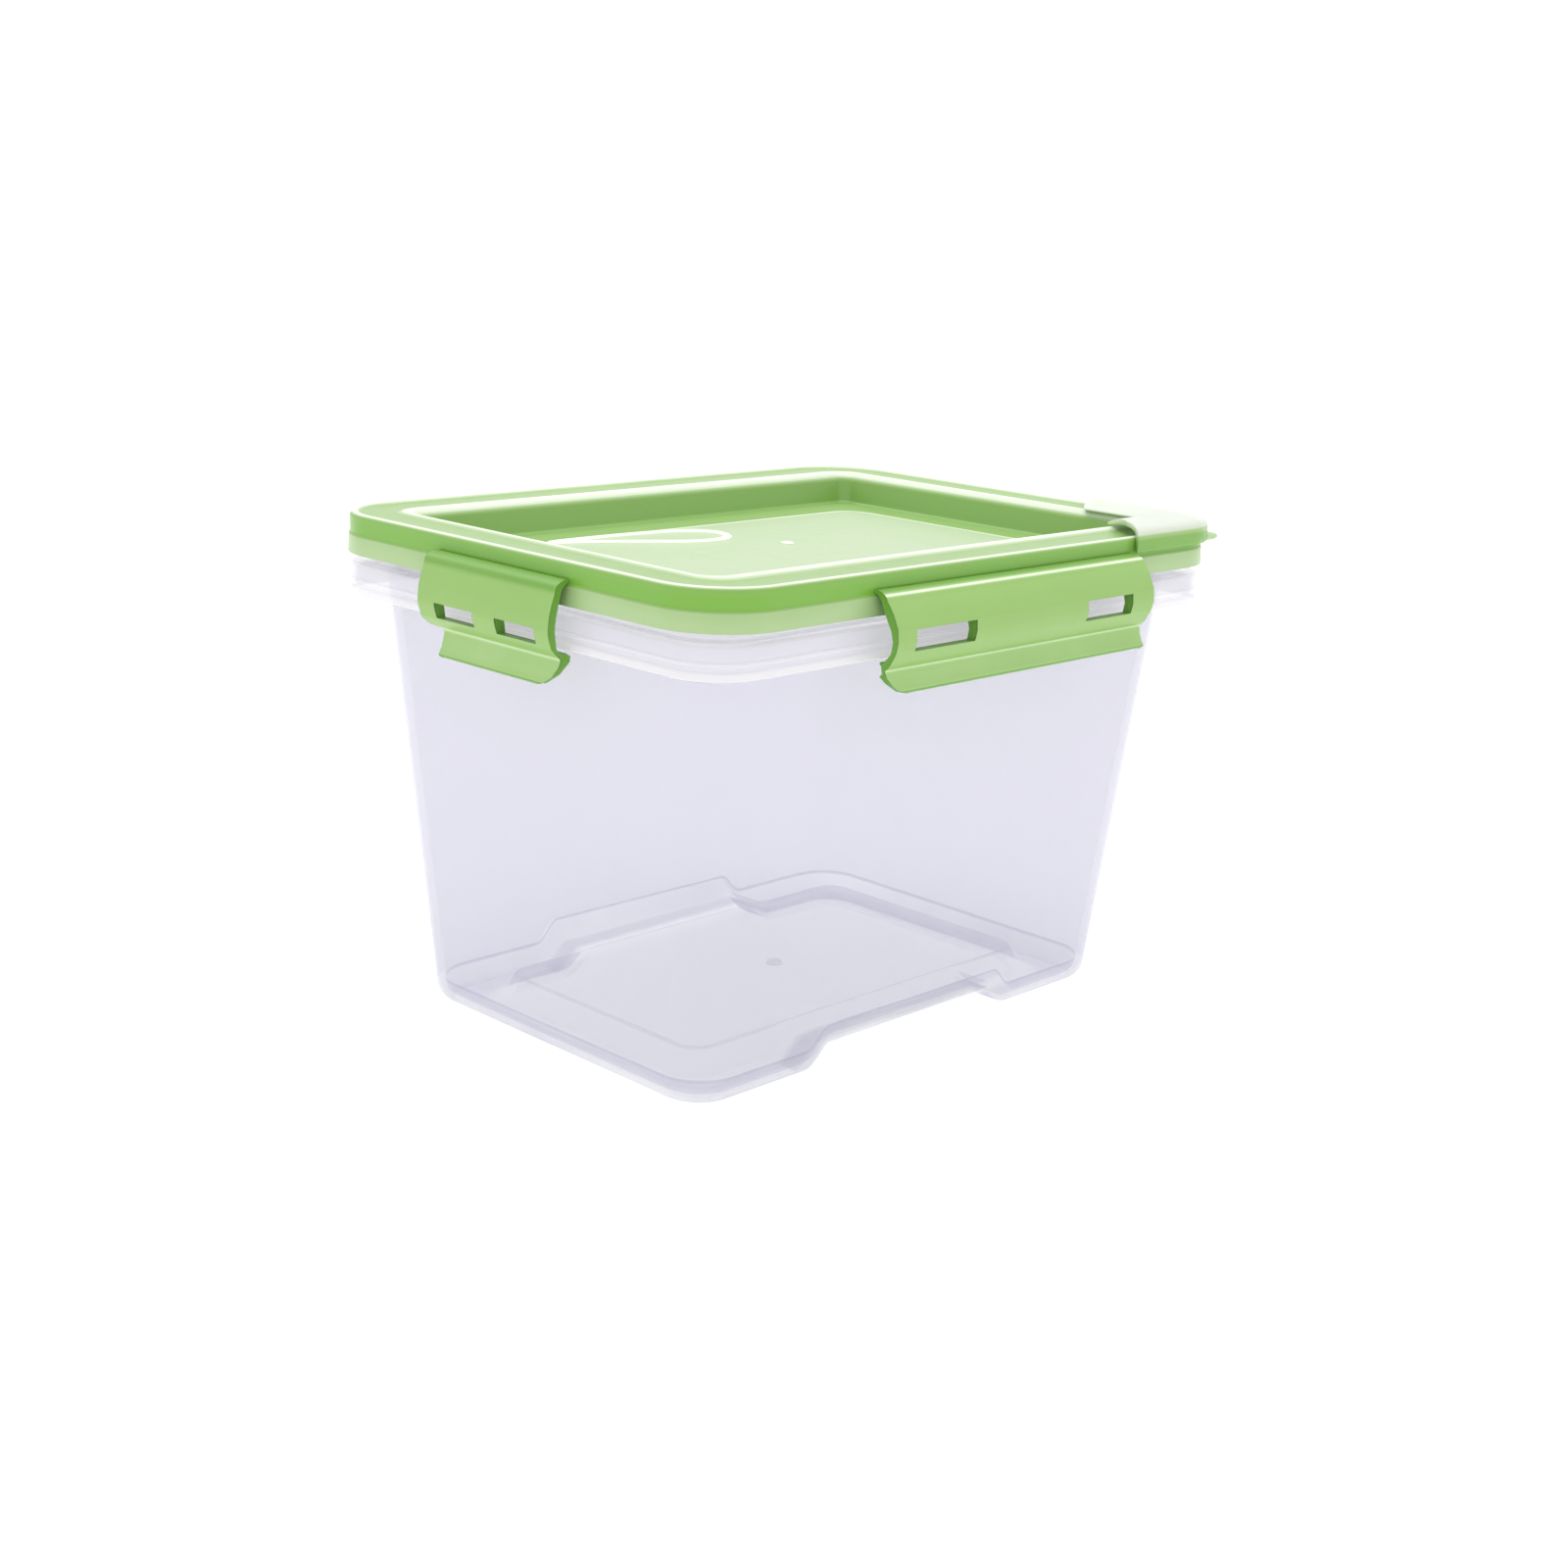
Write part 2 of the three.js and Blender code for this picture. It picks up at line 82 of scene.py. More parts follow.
SKIRT_FLARE = 0.6  # how far the lid's skirt flares out past its outline
LID_HALF_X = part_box("lid")[1].x / MM - SKIRT_FLARE
LID_HALF_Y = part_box("lid")[1].y / MM - SKIRT_FLARE
LID_CORNER = 22.5
CORNER_SHRINK = 0.85  # corner radius lost for each millimetre of inset
CORNER_LEAST = 4
WIDEN_FROM, WIDEN_TO, WIDEN_BY = 14, 18, 2  # the well is wider along X than the rim's inset gives
BASE_HALF_X = 94.2
BASE_HALF_Y = 64.2
BASE_CORNER = 14.5
TAPER = 0.082
ARCH_HALF = 47.4  # half length of the arch under each long wall, at its foot
ARCH_DRAFT = 8.9
FLOOR_RISE = 7
CORNER_STEPS = 14


def side_columns(half, step):
    """Evenly spaced places along a side, symmetric about its middle."""
    count = int(half // step)
    return [i * step for i in range(-count, count + 1)]


LONG_COLUMNS = sorted(
    set(side_columns(36, 6))
    | {sign * x for sign in (-1, 1) for x in (37.5, 39, 40.5, 42, 43.5, 45, 46.5, 48, 50, 54)}
)
SHORT_COLUMNS = side_columns(28, 7)


def outline(half_x, half_y, corner):
    """Points (x, y) of a rounded rectangle, with the same count and order for any size."""
    def arc(sign_x, sign_y, quarter):
        for step in range(CORNER_STEPS + 1):
            angle = (quarter + step / CORNER_STEPS) * math.pi / 2
            x = sign_x * (half_x - corner) + corner * math.cos(angle)
            y = sign_y * (half_y - corner) + corner * math.sin(angle)
            yield x, y

    points = list(arc(1, 1, 0))
    points += [(-x, half_y) for x in LONG_COLUMNS]
    points += arc(-1, 1, 1)
    points += [(-half_x, -y) for y in SHORT_COLUMNS]
    points += arc(-1, -1, 2)
    points += [(x, -half_y) for x in LONG_COLUMNS]
    points += arc(1, -1, 3)
    points += [(half_x, y) for y in SHORT_COLUMNS]
    return points


def smooth_share(value, low, high):
    """0 below low, 1 above high, and a smooth rise between."""
    t = min(max((value - low) / (high - low), 0), 1)
    return t * t * (3 - 2 * t)


def corner_at(inset):
    return max(LID_CORNER - CORNER_SHRINK * inset, CORNER_LEAST)


def lid_ring(inset, z, corner=None):
    side_inset = inset - WIDEN_BY * smooth_share(inset, WIDEN_FROM, WIDEN_TO)
    flat = outline(LID_HALF_X - side_inset, LID_HALF_Y - inset, corner or corner_at(inset))
    return [Vector((x, y, z)) for x, y in flat]


def arch_lift(x):
    """How far the arch raises the bottom at x: the full rise inside, nothing over the feet."""
    return FLOOR_RISE * (1 - smooth_share(abs(x), ARCH_HALF - ARCH_DRAFT, ARCH_HALF))


def wall_ring(inset, z, corner=BASE_CORNER, arch_share=0.0):
    """A ring on the tapered wall. Its long sides rise with the arch by a share of the lift."""
    def flat_at(height):
        growth = TAPER * height - inset
        return outline(BASE_HALF_X + growth, BASE_HALF_Y + growth, corner)

    ring = []
    for index, (x, y) in enumerate(flat_at(z)):
        lift = arch_share * arch_lift(x)
        if lift > 0:
            x, y = flat_at(z + lift)[index]
        ring.append(Vector((x, y, z + lift)))
    return ring


def floor_ring(half_x, half_y, corner, z, arch_share):
    flat = outline(half_x, half_y, corner)
    return [Vector((x, y, z + arch_share * arch_lift(x))) for x, y in flat]


def rounded(points, steps=4, closed=False):
    """Rounds the corners of a line of (u, v, radius, *rest); returns (u, v, *rest)."""
    result = []
    last = len(points) - 1
    for index, (u, v, radius, *rest) in enumerate(points):
        here = Vector((u, v))
        if radius == 0 or (not closed and index in (0, last)):
            result.append((u, v, *rest))
            continue
        before = Vector(points[index - 1][:2]) - here
        after = Vector(points[(index + 1) % len(points)][:2]) - here
        half = before.angle(after) / 2
        cut = min(radius / math.tan(half), 0.48 * before.length, 0.48 * after.length)
        middle = before.normalized() + after.normalized()
        centre = here + middle.normalized() * cut / math.cos(half)
        start = here + before.normalized() * cut - centre
        end = here + after.normalized() * cut - centre
        turn = start.angle_signed(end)
        for step in range(steps + 1):
            angle = -turn * step / steps
            spoke = Vector((
                start.x * math.cos(angle) - start.y * math.sin(angle),
                start.x * math.sin(angle) + start.y * math.cos(angle),
            ))
            result.append((*(centre + spoke), *rest))
    return result


# ------------------------------------------------------------------------------------------
# Meshes

class Shape:
    """Vertices in millimetres, each with a value for how clear the plastic is that also paints
    highlights, shade and emitted light, and faces: parts of one piece.
    """

    def __init__(self):
        self.points = []
        self.clarity_and_painted_light = []
        self.faces = []

    def add_rows(self, rows, clarity_and_painted_light, loop=False):
        """Skins closed rows of equal length, with a value of clearness and painted light for each row
        or a list for its points.
        """
        start = len(self.points)
        size = len(rows[0])
        for row, value in zip(rows, clarity_and_painted_light):
            self.points += row
            self.clarity_and_painted_light += value if isinstance(value, list) else [value] * size
        for r in range(len(rows) if loop else len(rows) - 1):
            here = start + r * size
            there = start + (r + 1) % len(rows) * size
            for i in range(size):
                j = (i + 1) % size
                self.faces.append((here + i, here + j, there + j, there + i))
        if not loop:
            top = start + (len(rows) - 1) * size
            self.faces.append(tuple(range(start + size - 1, start - 1, -1)))
            self.faces.append(tuple(range(top, top + size)))

    def mesh(self, name, sharp=math.radians(50)):
        mesh = bpy.data.meshes.new(name)
        mesh.from_pydata([p * MM for p in self.points], [], self.faces)
        attribute = mesh.attributes.new("clarity_and_painted_light", "FLOAT", "POINT")
        attribute.data.foreach_set("value", self.clarity_and_painted_light)
        mesh.shade_smooth()
        mesh.set_sharp_from_angle(angle=sharp)
        mesh.validate()
        return mesh


def add_piece(name, mesh, body, node, material):
    piece = bpy.data.objects.new(name, mesh)
    bpy.context.scene.collection.objects.link(piece)
    mesh.materials.append(material)
    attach(piece, body)
    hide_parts(node)
    return piece


CAGE_LEVELS = 2


def smooth_cage(piece):
    """Subdivides a piece whose mesh is a control cage."""
    modifier = piece.modifiers.new("smooth", "SUBSURF")
    modifier.levels = CAGE_LEVELS
    modifier.render_levels = CAGE_LEVELS


DOME_STEPS = 20
DOME_SINK = 0.6  # how far a button reaches into the face that it stands on


def add_dome(shape, centre, radius, height, clarity_and_painted_light):
    """A low round button standing on a flat face."""
    profile = [
        (radius, -DOME_SINK),
        (radius, 0.3 * height),
        (0.8 * radius, 0.85 * height),
        (0.4 * radius, height),
    ]
    rows = []
    for reach, z in profile:
        rows.append([
            centre + Vector((reach * math.cos(a), reach * math.sin(a), z))
            for a in (2 * math.pi * i / DOME_STEPS for i in range(DOME_STEPS))
        ])
    shape.add_rows(rows, [clarity_and_painted_light] * len(rows))


# ------------------------------------------------------------------------------------------
# Materials

def linear(red, green, blue):
    """A colour given as 0-255 display values, as the shader needs it."""
    def channel(value):
        value /= 255
        return value / 12.92 if value <= 0.04045 else ((value + 0.055) / 1.055) ** 2.4
    return (channel(red), channel(green), channel(blue), 1)


class Nodes:
    """A node tree being built."""

    def __init__(self, name):
        self.material = bpy.data.materials.new(name)
        self.material.use_nodes = True
        self.tree = self.material.node_tree
        self.shader = self.tree.nodes["Principled BSDF"]
        self.places = self.add("ShaderNodeTexCoord").outputs["Object"]

    def add(self, kind, **settings):
        node = self.tree.nodes.new(kind)
        for key, value in settings.items():
            setattr(node, key, value)
        return node

    def link(self, source, target):
        self.tree.links.new(source, target)

    def noise(self, scale, detail=3, roughness=0.5):
        node = self.add("ShaderNodeTexNoise")
        node.inputs["Scale"].default_value = scale
        node.inputs["Detail"].default_value = detail
        node.inputs["Roughness"].default_value = roughness
        self.link(self.places, node.inputs["Vector"])
        return node.outputs["Fac"]

    def attribute(self, name):
        return self.add("ShaderNodeAttribute", attribute_name=name).outputs["Fac"]

    def spread(self, source, low, high, from_low=0.0, from_high=1.0):
        """Maps a value from one range to another."""
        node = self.add("ShaderNodeMapRange")
        node.inputs["From Min"].default_value = from_low
        node.inputs["From Max"].default_value = from_high
        node.inputs["To Min"].default_value = low
        node.inputs["To Max"].default_value = high
        self.link(source, node.inputs["Value"])
        return node.outputs["Result"]

    def maths(self, operation, first, second):
        node = self.add("ShaderNodeMath", operation=operation)
        for socket, value in zip(node.inputs, (first, second)):
            if isinstance(value, (int, float)):
                socket.default_value = value
            else:
                self.link(value, socket)
        return node.outputs["Value"]

    def ramp(self, source, stops):
        node = self.add("ShaderNodeValToRGB")
        elements = node.color_ramp.elements
        while len(elements) < len(stops):
            elements.new(0.5)
        for element, (place, colour) in zip(elements, stops):
            element.position = place
            element.color = colour
        self.link(source, node.inputs["Fac"])
        return node.outputs["Color"]

    def bump(self, height, strength, distance):
        node = self.add("ShaderNodeBump")
        node.inputs["Strength"].default_value = strength
        node.inputs["Distance"].default_value = distance
        self.link(height, node.inputs["Height"])
        self.link(node.outputs["Normal"], self.shader.inputs["Normal"])


def green_plastic(name, stops, roughness, cover=1.0):
    """Moulded green polypropylene: the clearer the wall, the paler it looks, and the same value paints
    highlights near white; faces marked at their edge are painted darker, for the plastic's thickness
    seen edge-on and as painted shade. cover is its opacity.
    """
    nodes = Nodes(name)
    mottle = nodes.spread(nodes.noise(38, 4), -0.05, 0.05)
    # Painted shade and depth: the edge mark darkens cut ends, window jambs, sills and the tab's
    # underside.
    inner = nodes.spread(nodes.attribute("edge"), 1.0, 0.0)
    tone_and_painted_light = nodes.maths("ADD", nodes.maths("MULTIPLY", nodes.attribute("clarity_and_painted_light"), inner), mottle)
    nodes.link(nodes.ramp(tone_and_painted_light, stops), nodes.shader.inputs["Base Color"])
    gloss = nodes.spread(nodes.noise(210, 3), roughness - 0.05, roughness + 0.07)
    nodes.link(gloss, nodes.shader.inputs["Roughness"])
    nodes.shader.inputs["IOR"].default_value = 1.49
    nodes.shader.inputs["Alpha"].default_value = cover
    nodes.bump(nodes.noise(900, 2), 0.06, 0.0002)
    return nodes.material


def clear_plastic():
    """Natural polypropylene: lilac walls, faintest on the inside, milky at the rim, with emitted light
    painted into the milky parts.
    """
    nodes = Nodes("natural_polypropylene")
    cloud = nodes.spread(nodes.noise(14, 3), -0.02, 0.02, 0.3, 0.7)
    clear = nodes.maths("ADD", nodes.attribute("clarity_and_painted_light"), cloud)
    stops = [
        (0.1, linear(170, 169, 172)),
        (0.5, linear(160, 159, 168)),
        (0.72, linear(190, 187, 208)),
        (0.82, linear(190, 187, 208)),
        (0.87, linear(172, 169, 196)),
    ]
    nodes.link(nodes.ramp(clear, stops), nodes.shader.inputs["Base Color"])
    # Painted light: emission where the plastic is milky (the rim, the panel's step, the gate mark),
    # standing in for light scattered through it and lifting the shade behind the latches.
    painted_glow = [
        (0.1, linear(180, 178, 178)),
        (0.5, linear(168, 166, 172)),
        (0.66, linear(0, 0, 0)),
    ]
    nodes.link(nodes.ramp(clear, painted_glow), nodes.shader.inputs["Emission Color"])
    nodes.shader.inputs["Emission Strength"].default_value = 1
    cover = [
        (0, 0.8),
        (0.5, 0.52),
        (0.72, 0.17),
        (0.83, 0.17),
        (0.87, 0.38),
        (0.93, 0.38),
        (0.97, 0.05),
    ]
    greys = [(place, (value, value, value, 1)) for place, value in cover]
    nodes.link(nodes.ramp(clear, greys), nodes.shader.inputs["Alpha"])
    nodes.link(nodes.spread(nodes.noise(160, 3), 0.14, 0.26), nodes.shader.inputs["Roughness"])
    nodes.shader.inputs["IOR"].default_value = 1.49
    nodes.shader.inputs["Specular IOR Level"].default_value = 0.2
    nodes.bump(nodes.noise(60, 2), 0.05, 0.0006)
    return nodes.material


def silicone():
    nodes = Nodes("seal_silicone")
    nodes.link(
        nodes.ramp(nodes.noise(120, 3), [(0.35, linear(222, 226, 220)), (0.65, linear(236, 238, 233))]),
        nodes.shader.inputs["Base Color"],
    )
    nodes.link(nodes.spread(nodes.noise(400, 2), 0.45, 0.6), nodes.shader.inputs["Roughness"])
    nodes.bump(nodes.noise(1500, 2), 0.1, 0.0002)
    return nodes.material


# Deep green where the plastic is thick, paler where it is thin; the top stop is the near-white colour
# of the painted highlights.
LID_STOPS = [
    (0.0, linear(116, 170, 59)),
    (0.45, linear(136, 171, 98)),
    (0.6, linear(165, 192, 137)),
    (0.8, linear(173, 192, 155)),
    (1.0, linear(232, 243, 220)),
]
# Green at the cap's foot; the top stop is the near-white painted highlight over its rounded top.
CAP_STOPS = [
    (0.0, linear(132, 184, 82)),
    (0.5, linear(172, 206, 134)),
    (1.0, linear(239, 241, 235)),
]
# Deep green at the darkened edges, paler on the plate; the top stop is the near-white painted highlight
# along the top edge and the crease.
LATCH_STOPS = [
    (0.0, linear(98, 152, 46)),
    (0.5, linear(141, 180, 97)),
    (0.62, linear(153, 190, 114)),
    (1.0, linear(238, 250, 224)),
]


# ------------------------------------------------------------------------------------------
# Tub

WALL = 2  # thickness
FILLET_STEPS = 7
FILLET = 5
FILLET_INSIDE = 3.5
WALL_HEIGHTS = [
    # (height, share of the arch's lift that the ring takes)
    (8, 0.9), (14, 0.7), (20, 0.5), (30, 0.2), (45, 0.05), (70, 0), (100, 0), (125, 0), (134.5, 0),
]
FLANGE_SECTION = [
    # (inset, z, radius, clearness and painted light): shelf, inside of the hanging flange, its lip, its
    # ridge, its top; low values make the rim milky and paint emitted light into it
    (6.5, 138.3, 0, 0.55),
    (3.4, 138.3, 1.2, 0.5),
    (3.4, 131.8, 0.6, 0.45),
    (3.1, 130.5, 0.5, 0.3),
    (1.4, 130.5, 0.6, 0.1),
    (1.4, 132.4, 0.4, 0.1),
    (2.0, 133.2, 0.4, 0.35),
    (2.0, 134.2, 0.2, 0.35),
    (1.5, 134.6, 0.2, 0.25),
    (1.5, 135.2, 0.2, 0.25),
    (2.0, 135.7, 0.3, 0.4),
    (1.9, 140.3, 1.2, 0.4),
    (5.0, 140.3, 0.8, 0.5),
    (5.0, 150.2, 0.9, 0.45),
    (8.0, 150.2, 0.9, 0.45),
    (8.0, 140.9, 1.4, 0.5),
    (10.3, 140.5, 0, 0.6),
]
FLANGE_CORNER = 16.5
NECK_CORNER = 17
NECK_SHRINK = 0.62


def rim_corner(inset, z):
    """Corner radius of the tub's rim: the hanging flange is square-cornered, the neck rounder."""
    if z <= 138.3 or inset < 4.5:
        return FLANGE_CORNER - max(inset - 1.4, 0)
    return NECK_CORNER - NECK_SHRINK * (inset - 5)


PANEL_HALF_X = 77.3
PANEL_HALF_Y = 45.3
PANEL_CORNER = 9
PANEL_DRAFT = 3.3
GATE_PLACE = Vector((-2, -4, FLOOR_RISE + WALL))  # the mark left by the moulding gate
GATE_RADIUS = 2.6
GATE_HEIGHT = 0.8

# Clearness of the tub's surfaces, given as one value or as one for each ring; values below 0.66 also
# paint emitted light
OUTSIDE = 0.9
INSIDE = 1
FILLET_OUTSIDE_CLARITY = 0.845
FILLET_INSIDE_CLARITY = 0.76
SHOULDER_CLARITY = [0.9, 0.8, 0.7]
THROAT_CLARITY = [0.7, 0.85, 0.95]
PANEL_CLARITY = 0.78
# The panel's step is milkier and takes the painted emission: painted highlight lines along the panel's
# edges.
PANEL_EDGE_CLARITY_AND_SHINE = [0.62, 0.56, 0.56, 0.62, 0.74, 0.76]


def fillet_rows(radius, inset, floor):
    rows = []
    for step in range(FILLET_STEPS + 1):
        angle = step / FILLET_STEPS * math.pi / 2
        inward = radius * (1 - math.sin(angle))
        z = floor + radius * (1 - math.cos(angle))
        rows.append(wall_ring(inset + inward, z, BASE_CORNER - inward, arch_share=1))
    return rows


def panel_rows(margin, floor):
    """The step up from the feet to the raised panel, inwards."""
    step_up = rounded([
        (margin + 2.2, 0, 0),
        (margin, 0, 1.4),
        (margin - PANEL_DRAFT, FLOOR_RISE, 1.6),
        (margin - PANEL_DRAFT - 3, FLOOR_RISE, 0),
    ], steps=5)
    rows = []
    for grow, rise in step_up:
        share = 1 - rise / FLOOR_RISE
        corner = PANEL_CORNER + max(grow, -4)
        ring = floor_ring(PANEL_HALF_X + grow, PANEL_HALF_Y + grow, corner, floor + rise, share)
        rows.append(ring)
    return rows


def tub_mesh():
    shape = Shape()
    below = list(reversed(panel_rows(0, 0)))
    below_fillet = fillet_rows(FILLET, 0, 0)
    walls = [wall_ring(0, z, arch_share=share) for z, share in WALL_HEIGHTS]
    shoulder = [wall_ring(0, 136.6), wall_ring(-0.5, 137.8), wall_ring(-1.7, 138.3)]
    flange = rounded(FLANGE_SECTION)
    rim = [lid_ring(inset, z, rim_corner(inset, z)) for inset, z, _ in flange]
    throat = [wall_ring(1.0, 140.1), wall_ring(1.8, 139.2), wall_ring(WALL, 137.8)]
    inner_walls = [wall_ring(WALL, z, arch_share=share) for z, share in reversed(WALL_HEIGHTS)]
    inner_fillet = list(reversed(fillet_rows(FILLET_INSIDE, WALL, WALL)))
    inner_panel = panel_rows(WALL, WALL)
    rows = [*below, *below_fillet, *walls, *shoulder, *rim, *throat, *inner_walls]
    rows += [*inner_fillet, *inner_panel]
    clarity_and_painted_light = [INSIDE] * len(below)
    clarity_and_painted_light += [FILLET_OUTSIDE_CLARITY] * len(below_fillet)
    clarity_and_painted_light += [OUTSIDE] * len(walls)
    clarity_and_painted_light += SHOULDER_CLARITY + [value for _, _, value in flange] + THROAT_CLARITY
    clarity_and_painted_light += [INSIDE] * len(inner_walls)
    clarity_and_painted_light += [FILLET_INSIDE_CLARITY] * len(inner_fillet)
    clarity_and_painted_light += [PANEL_CLARITY] * (len(inner_panel) - len(PANEL_EDGE_CLARITY_AND_SHINE)) + PANEL_EDGE_CLARITY_AND_SHINE
    shape.add_rows(rows, clarity_and_painted_light)
    add_dome(shape, GATE_PLACE, GATE_RADIUS, GATE_HEIGHT, 0)
    return shape.mesh("tub_shell")


# ------------------------------------------------------------------------------------------
# Lid and seal

LID_UNDERSIDE = [
    (22.4, 143.2, 0, 0.5),
    (21.7, 143.4, 0.6, 0.4),
    (20.0, 152.0, 0.8, 0.3),
    (19.0, 153.4, 0.8, 0.5),
    (15.0, 152.9, 0.5, 0.5),
    (13.8, 152.9, 0.4, 0.5),
    (13.6, 147.0, 0.4, 0.4),
    (12.6, 147.0, 0.4, 0.4),
    (12.4, 152.9, 0.4, 0.5),
    (2.4, 152.9, 0.6, 0.4),
    (1.5, 150.0, 0.6, 0.3),
    (1.0, 143.3, 0.35, 0.6),
]
# Last column, clearness and painted light: the near-white rows on the outer ridge and the rounded inner
# ridge are painted highlights.
LID_TOPSIDE = [
    (-0.6, 143.3, 0.4, 0.62),
    (-0.4, 148.6, 0.3, 0.56),
    (0.05, 149.5, 0.3, 0.0),
    (0.0, 152.5, 0, 0.0),
    (0.0, 154.3, 1.0, 0.12),
    (0.9, 155.5, 0.7, 0.95),
    (2.0, 155.4, 0.5, 0.95),
    (3.2, 154.7, 0.6, 0.46),
    (9, 154.65, 0, 0.42),
    (13.2, 154.7, 1.2, 0.46),
    (15.2, 155.3, 2, 0.9),
    (17.6, 155.5, 3, 1),
    (20.2, 154.8, 2.5, 0.9),
    (21.6, 152.8, 1.5, 0.3),
    (23.2, 145.8, 0.8, 0.25),
    (24.1, 145.0, 0.8, 0.3),
]
ISLAND_HALF_X = 73.5
ISLAND_HALF_Y = 41
ISLAND_CORNER = 9
ISLAND_TOP = 146.7
CHANNEL_FLOOR = 145
BUTTON_RADIUS = 2.2  # a low button in the middle of the island
BUTTON_HEIGHT = 0.5


def island_ring(grow, z):
    return floor_ring(ISLAND_HALF_X + grow, ISLAND_HALF_Y + grow, ISLAND_CORNER + max(grow, -3), z, 0)


def lid_mesh():
    shape = Shape()
    island_under = [(-2.4, 144.9), (-1.6, 144.8), (-0.4, 143.5), (0.4, 143.2)]
    island_over = rounded([
        (6, CHANNEL_FLOOR, 0),
        (1.8, CHANNEL_FLOOR, 0.7),
        (0.4, ISLAND_TOP, 0.8),
        (-3, ISLAND_TOP, 0),
    ])
    under = rounded(LID_UNDERSIDE)
    over = rounded(LID_TOPSIDE)
    rows = [island_ring(grow, z) for grow, z in island_under]
    rows += [lid_ring(inset, z) for inset, z, _ in under + over]
    rows += [island_ring(grow, z) for grow, z in island_over]
    clarity_and_painted_light = [0.6] * len(island_under) + [value for _, _, value in under + over]
    # The island's rounded edge is painted near white, a painted highlight line; its top keeps its own
    # pale green.
    clarity_and_painted_light += [0.4] + [1] * (len(island_over) - 2) + [0.72]
    shape.add_rows(rows, clarity_and_painted_light)
    add_loop(shape)
    add_dome(shape, Vector((0, 0, ISLAND_TOP)), BUTTON_RADIUS, BUTTON_HEIGHT, 1)
    return shape.mesh("lid_shell")


# A raised teardrop loop near the island's back left corner, as (x, y) from its tip round.
LOOP_ROUTE = [
    (-64, 38.6), (-46, 39), (-28, 38), (-16, 36), (-8.5, 32.5), (-5, 27), (-6.6, 20.5),
    (-14, 16.2), (-24.6, 17.6), (-39.5, 26), (-54, 33.8),
]
LOOP_WIDTH = 1.5
LOOP_HEIGHT = 0.7
LOOP_STEPS = 8  # between one point of the route and the next
LOOP_SECTION = [(1, -0.4), (-1, -0.4), (-1, 0.1), (-0.6, 0.8), (0, 1), (0.6, 0.8), (1, 0.1)]


def closed_spline(points, steps):
    """A Catmull-Rom curve through points that closes on itself."""
    count = len(points)
    result = []
    for i in range(count):
        a, b, c, d = (Vector(points[(i + k - 1) % count]) for k in range(4))
        for step in range(steps):
            t = step / steps
            result.append(0.5 * (
                2 * b + (c - a) * t + (2 * a - 5 * b + 4 * c - d) * t * t
                + (3 * b - a - 3 * c + d) * t ** 3
            ))
    return result


def add_loop(shape):
    route = closed_spline(LOOP_ROUTE, LOOP_STEPS)
    count = len(route)
    rows = []
    for i, point in enumerate(route):
        along = (route[(i + 1) % count] - route[i - 1]).normalized()
        across = Vector((along.y, -along.x))
        row = []
        for side, rise in LOOP_SECTION:
            place = point + across * side * LOOP_WIDTH
            row.append(Vector((place.x, place.y, ISLAND_TOP + rise * LOOP_HEIGHT)))
        rows.append(row)
    # Painted near white all over: a painted highlight along the loop's ridges.
    shape.add_rows(rows, [1] * count, loop=True)


def seal_mesh():
    shape = Shape()
    section = rounded([
        (12, 150.6, 0.4), (8.8, 150.6, 0.3), (8.3, 151.4, 0.3), (5.7, 151.4, 0.3), (5.2, 150.6, 0.3),
        (3.2, 150.6, 0.4), (3.2, 152.6, 0.4), (12, 152.6, 0.4),
    ], closed=True)
    shape.add_rows([lid_ring(inset, z) for inset, z in section], [1] * len(section), loop=True)
    return shape.mesh("seal_ring")


# ------------------------------------------------------------------------------------------
# Latches

TAB_CORNER = 9  # at one lower end of the tab; the other end is nearly square
TAB_HEEL = 1.2
TAB_BLEND = 14  # length at each end of the latch over which the tab is drawn in
TAB_ROOT = (128.7, 129.9)  # heights between which the tab grows out of the plate
HOOK_ZONE = (127.5, 131)  # heights between which the hook is cut short
EDGE = 0.6  # distance of the loops that hold an edge of the cage
HOOK_STEP = 0.3
FRAME_DEPTH = 1.1  # how much thicker the plate is round its windows
FRAME_MARGIN = 1
COLUMN_WIDTH = 9
PLATE_TOP = 147
EDGE_LINE_TOP = 149.7  # the painted highlight line along the plate's top edge lies below this height
END_CREASE = 0.75
WINDOW_CREASE = 0.7
TAB_BOTTOM_DEPTH_AND_SHADE = 0.8  # how dark the tab's lower edge shows, for its thickness and as painted shade, against 1 for a cut end
# how dark the windows' sills show: their thickness with painted shade
SILL_DEPTH_AND_SHADE = 0.4
# HEAD's last column: the hinge web is painted as dark as the skirt, a painted shade, and the plate's
# top edge carries a painted highlight line.
HEAD = [(1, 150.9, 0.1), (2.9, 150.3, 0.1), (4.2, 149.6, 1), (4.75, 149.0, 0.55), (5.0, 148.2, 0.5)]
HOOK = [(-2.3, 128.6, 0.1), (-2.5, 129.1, 0.1), (-2.2, 129.65, 0.1), (0.2, 129.95, 0.1)]
HINGE = [
    (2.6, 148.3, 0.1), (1.9, 149.1, 0.1), (1, 149.7, 0.1), (0.5, 149.95, 0.1), (0.4, 150.3, 0.1),
    (0.5, 150.65, 0.1),
]
